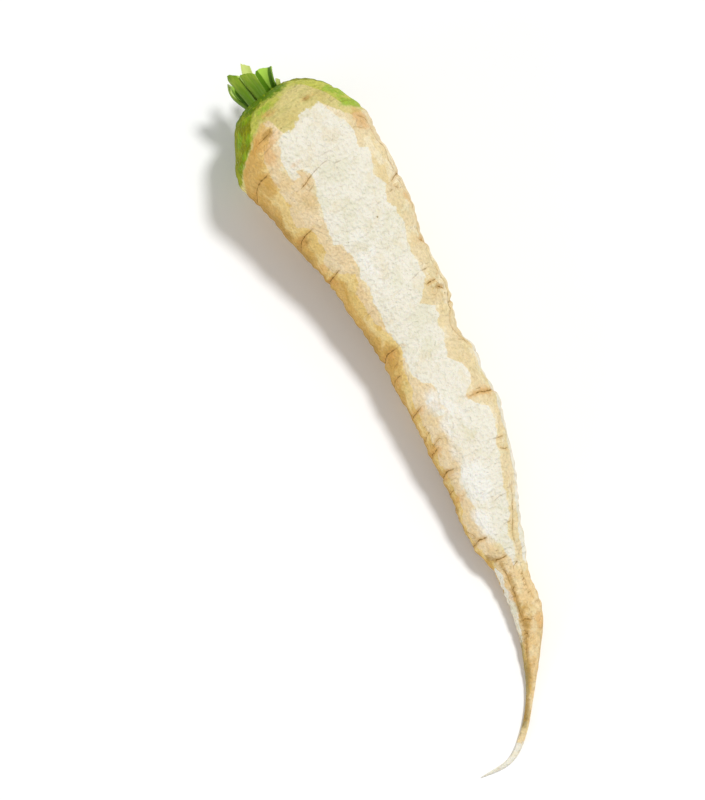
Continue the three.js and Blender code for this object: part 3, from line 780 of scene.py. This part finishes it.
# The old ones have dried dark in places along their cut tips. All are darkest at the foot, where they
# crowd each other: painted shade.
dried = add(tree, "ShaderNodeMath", {0: blots, 1: 0.8, 2: up}, operation="MULTIPLY_ADD")
dried = add(tree, "ShaderNodeMapRange", {0: dried, 1: 1.26, 2: 1.42, 3: 0, 4: 0.6}, **EASED)
old = add(tree, "ShaderNodeMath", {0: 1, 1: youth}, operation="SUBTRACT")
dried = add(tree, "ShaderNodeMath", {0: dried, 1: old}, operation="MULTIPLY")
not_hollow = add(tree, "ShaderNodeMath", {0: 1, 1: hollow_share}, operation="SUBTRACT")
dried = add(tree, "ShaderNodeMath", {0: dried, 1: not_hollow}, operation="MULTIPLY")
green = add(tree, "ShaderNodeMix", {0: dried, 6: green, 7: linear("#5A7C18")}, **OF_COLOURS)
foot_shade = add(tree, "ShaderNodeMath", {0: blots, 1: 0.5, 2: up}, operation="MULTIPLY_ADD")
foot_shade = add(tree, "ShaderNodeMapRange", {0: foot_shade, 1: 0.9, 2: 0.45, 3: 0, 4: 0.45}, **EASED)
green = add(tree, "ShaderNodeMix", {0: foot_shade, 6: green, 7: linear("#446E04")}, **OF_COLOURS)

# The cut ends show the pale flesh, and the ends of the fibres as duller dots.
cut_tone = add(tree, "ShaderNodeMapRange", {0: strokes, 1: 0.45, 2: 0.55}, **EASED)
pale_cut = add(tree, "ShaderNodeMix", {0: cut_tone, 6: linear("#DCEBA2"), 7: linear("#B9C878")},
               **OF_COLOURS)
green = add(tree, "ShaderNodeMix", {0: cut, 6: green, 7: pale_cut}, **OF_COLOURS)

bump = add(tree, "ShaderNodeBump", {"Strength": 0.5, "Distance": 0.08 * MM, "Height": strokes})
surface = add(tree, "ShaderNodeBsdfPrincipled", {
    "Base Color": green, "Roughness": 0.5, "IOR": 1.42, "Specular IOR Level": 0.2, "Normal": bump,
    "Subsurface Weight": 0.06, "Subsurface Radius": (0.8, 1.0, 0.3), "Subsurface Scale": 0.8 * MM})
add(tree, "ShaderNodeOutputMaterial", {0: surface})

for number, stalk in enumerate(stalks, 1):
    stalk.data.materials.append(stalk_skin)
    select_only(stalk)
    bpy.ops.object.shade_smooth()
    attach(stalk, "root")
    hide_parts(f"leaf_stalk_{number}")

# ---- The camera
# A long lens, nearly two metres off, so that the view is almost parallel. It looks down from steeply
# above, a little from the tail's side: the crown is at the top, and the +Y flank is on the right.
LENS = 300
CAMERA_DISTANCE = 1.932
CAMERA_AZIMUTH, CAMERA_ELEVATION = math.radians(70), math.radians(76)
AIM_ACROSS, AIM_UP = -16.6 * MM, -1.9 * MM      # from the middle of the carrot's box, in the view
to_camera = Vector((
    math.sin(CAMERA_AZIMUTH) * math.cos(CAMERA_ELEVATION),
    -math.cos(CAMERA_AZIMUTH) * math.cos(CAMERA_ELEVATION),
    math.sin(CAMERA_ELEVATION)))
across_view = Vector((math.cos(CAMERA_AZIMUTH), math.sin(CAMERA_AZIMUTH), 0))
camera_data = bpy.data.cameras.new("camera")
camera_data.lens = LENS
camera = bpy.data.objects.new("camera", camera_data)
bpy.context.scene.collection.objects.link(camera)
aim = (cad_low + cad_high) / 2 + across_view * AIM_ACROSS + to_camera.cross(across_view) * AIM_UP
camera.location = aim + to_camera * CAMERA_DISTANCE
camera.rotation_mode = "QUATERNION"
camera.rotation_quaternion = (-to_camera).to_track_quat("-Z", "Y")
bpy.context.scene.camera = camera

# ---- The floor
# A wide sheet of plain white paper, under the belly. The camera and the gloss see it as pure white,
# and it throws a little less light than that back at the root.
FLOOR_SIZE = 4
FLOOR_DROP = 0.05 * MM      # keeps the sheet from showing through the flat of the belly
PAPER_SHADE = 0.92, 0.92, 0.92, 1
WHITE = 1, 1, 1, 1


def seen_straight(tree):
    """1 where the camera or the gloss sees it, 0 where it only throws light on the root."""
    camera_ray = add(tree, "ShaderNodeLightPath", output="Is Camera Ray")
    glossy_ray = add(tree, "ShaderNodeLightPath", output="Is Glossy Ray")
    return add(tree, "ShaderNodeMath", {0: camera_ray, 1: glossy_ray}, operation="ADD")


bpy.ops.object.select_all(action="DESELECT")
bpy.ops.mesh.primitive_plane_add(size=FLOOR_SIZE, location=(0, 0, -FLOOR_DROP))
floor = bpy.context.object
floor.name = "floor"
paper, tree = new_material("white_paper")
shade = add(tree, "ShaderNodeMix", {0: seen_straight(tree), 6: PAPER_SHADE, 7: WHITE}, **OF_COLOURS)
sheet = add(tree, "ShaderNodeBsdfDiffuse", {"Color": shade})
add(tree, "ShaderNodeOutputMaterial", {0: sheet})
floor.data.materials.append(paper)
floor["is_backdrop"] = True

# ---- The light
# A soft key lamp stands high on the +Y side, a softer fill lamp low across from it, and plain light
# comes from all round. Together they show each colour about as it is.
ALL_ROUND = 0.45, 0.45, 0.45, 1
# Each lamp's name, its elevation and heading, its strength, and the angle that it fills in the sky.
LAMPS = [("key", 65, 105, 1.9, 10), ("fill", 9, -75, 1.1, 40)]
for name, elevation, heading, strength, angle in LAMPS:
    lamp_data = bpy.data.lights.new(name, "SUN")
    lamp_data.energy = strength
    lamp_data.angle = math.radians(angle)
    lamp = bpy.data.objects.new(name, lamp_data)
    bpy.context.scene.collection.objects.link(lamp)
    elevation, heading = math.radians(elevation), math.radians(heading)
    towards = Vector((
        math.cos(heading) * math.cos(elevation),
        math.sin(heading) * math.cos(elevation),
        math.sin(elevation)))
    lamp.rotation_euler = towards.to_track_quat("Z", "Y").to_euler()

world = bpy.data.worlds.new("studio")
bpy.context.scene.world = world
world.use_nodes = True
tree = world.node_tree
tree.nodes.clear()
air = add(tree, "ShaderNodeMix", {0: seen_straight(tree), 6: ALL_ROUND, 7: WHITE}, **OF_COLOURS)
air = add(tree, "ShaderNodeBackground", {"Color": air})
add(tree, "ShaderNodeOutputWorld", {0: air})
bpy.context.scene.view_settings.view_transform = "Standard"

low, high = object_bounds()
